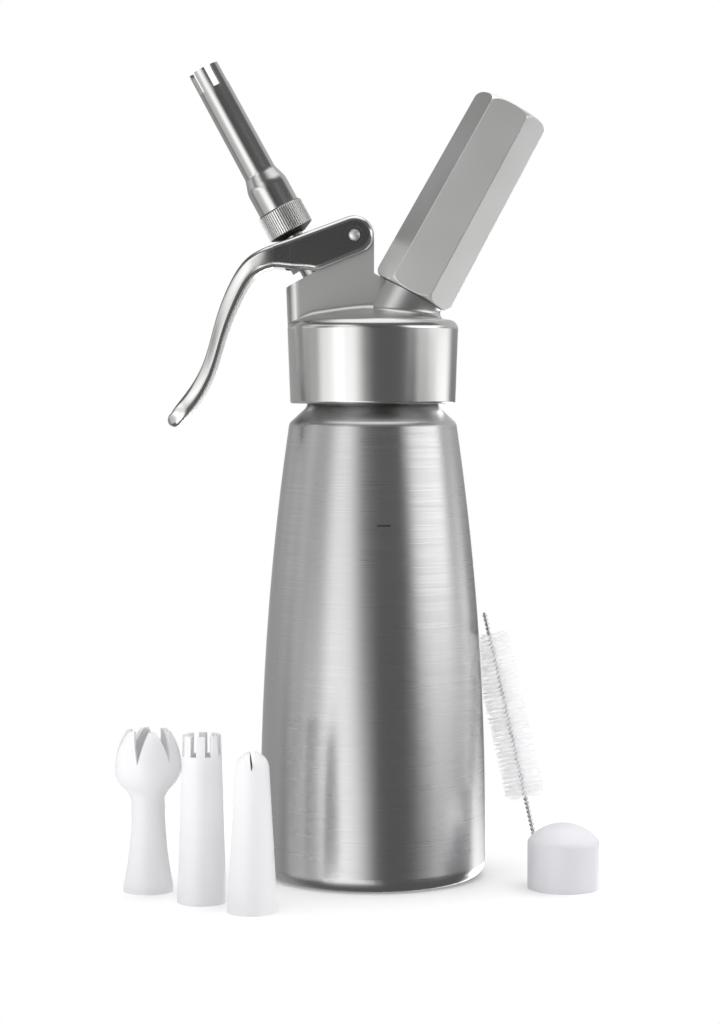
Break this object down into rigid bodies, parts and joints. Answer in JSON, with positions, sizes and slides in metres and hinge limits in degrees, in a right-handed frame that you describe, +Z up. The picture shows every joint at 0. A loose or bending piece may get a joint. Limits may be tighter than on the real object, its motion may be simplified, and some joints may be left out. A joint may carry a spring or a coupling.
{
  "type": "whipped cream dispenser",
  "caption": "Steel pressure bottle with a lever valve head, slotted spout and gas charger holder, with decorating tips, cap and cleaning brush beside it.",
  "frame": {"origin": "centre of the bottle's flat base, on the surface it stands on", "axes": "+Z up along the bottle's axis; -X towards the lever and the spout, +X towards the charger holder; -Y towards the side the tips and the cap stand on"},
  "size_m": [0.1635, 0.1114, 0.2835],
  "materials": {
    "bottle_steel": "fine horizontal brushing",
    "head_steel": "satin cast steel",
    "seal_rubber": "matte",
    "polished_steel": "polished",
    "plain_steel": "turned",
    "ring_steel": "satin, knurled",
    "lever_steel": "polished cast steel",
    "charger_steel": "zinc plated",
    "holder_steel": "satin",
    "white_plastic": "satin moulded",
    "bristle_nylon": "nylon filaments"
  },
  "bodies": {
    "bottle": {"bottle": "bottle_steel"},
    "gasket": {"head_gasket": "seal_rubber"},
    "head": {"head": "head_steel", "stem_seal": "seal_rubber", "spring_washer": "plain_steel", "valve_spring": "plain_steel", "pivot_pin": "polished_steel", "piercing_pin": "plain_steel", "port_seal": "seal_rubber", "check_valve": "seal_rubber"},
    "lever": {"lever": "lever_steel"},
    "valve": {"valve_stem": "polished_steel", "valve_seal": "seal_rubber", "valve_collar": "plain_steel"},
    "nozzle_washer": {"nozzle_seal": "seal_rubber"},
    "nozzle": {"nozzle_ring": "ring_steel", "nozzle_tube": "polished_steel"},
    "charger": {"charger": "charger_steel"},
    "holder": {"charger_holder": "holder_steel"},
    "tulip_tip": {"tulip_tip": "white_plastic"},
    "crown_tip": {"crown_tip": "white_plastic"},
    "slit_tip": {"slit_tip": "white_plastic"},
    "cap": {"cap": "white_plastic"},
    "brush": {"brush_wire": "plain_steel", "brush_bristles": "bristle_nylon"}
  },
  "joints": [
    {"name": "head_lift", "type": "slide", "parent": "bottle", "child": "gasket", "axis": [0, 0, 1], "range_m": [0, 0.00451]},
    {"name": "head_turn", "type": "hinge", "parent": "gasket", "child": "head", "pos_m": [0, 0, 0.1826], "axis": [0, 0, 1], "range_deg": [0, 540]},
    {"name": "lever_press", "type": "hinge", "parent": "head", "child": "lever", "pos_m": [-0.00645, 0, 0.2224], "axis": [0, -1, 0], "range_deg": [0, 8], "stiffness_Nm_per_rad": 0.7, "springref_deg": -9.17},
    {"name": "valve_slide", "type": "slide", "parent": "head", "child": "valve", "axis": [0.4772, 0, -0.8788], "range_m": [0, 0.00265], "deforming": ["valve_spring"]},
    {"name": "nozzle_lift", "type": "slide", "parent": "valve", "child": "nozzle_washer", "axis": [-0.4772, 0, 0.8788], "range_m": [0, 0.00201]},
    {"name": "nozzle_turn", "type": "hinge", "parent": "nozzle_washer", "child": "nozzle", "pos_m": [-0.031, 0, 0.22893], "axis": [-0.4772, 0, 0.8788], "range_deg": [0, 720]},
    {"name": "holder_lift", "type": "slide", "parent": "head", "child": "charger", "axis": [0.4802, 0, 0.8771], "range_m": [0, 0.00401]},
    {"name": "holder_turn", "type": "hinge", "parent": "charger", "child": "holder", "pos_m": [0.0133, 0, 0.2022], "axis": [0.4802, 0, 0.8771], "range_deg": [0, 720]},
    {"name": "tulip_tip_lift", "type": "slide", "parent": "bottle", "child": "tulip_tip", "axis": [0, 0, 1], "range_m": [0, 0.05]},
    {"name": "crown_tip_lift", "type": "slide", "parent": "bottle", "child": "crown_tip", "axis": [0, 0, 1], "range_m": [0, 0.05]},
    {"name": "slit_tip_lift", "type": "slide", "parent": "bottle", "child": "slit_tip", "axis": [0, 0, 1], "range_m": [0, 0.05]},
    {"name": "cap_lift", "type": "slide", "parent": "bottle", "child": "cap", "axis": [0, 0, 1], "range_m": [0, 0.05]},
    {"name": "brush_lift", "type": "slide", "parent": "bottle", "child": "brush", "axis": [0, 0, 1], "range_m": [0, 0.05]}
  ],
  "couplings": [
    {"joint": "head_lift", "follows": "head_turn", "m_per_rad": 0.00047746},
    {"joint": "valve_slide", "follows": "lever_press", "m_per_rad": 0.01875},
    {"joint": "nozzle_lift", "follows": "nozzle_turn", "m_per_rad": 0.00015915},
    {"joint": "holder_lift", "follows": "holder_turn", "m_per_rad": 0.00031831}
  ]
}
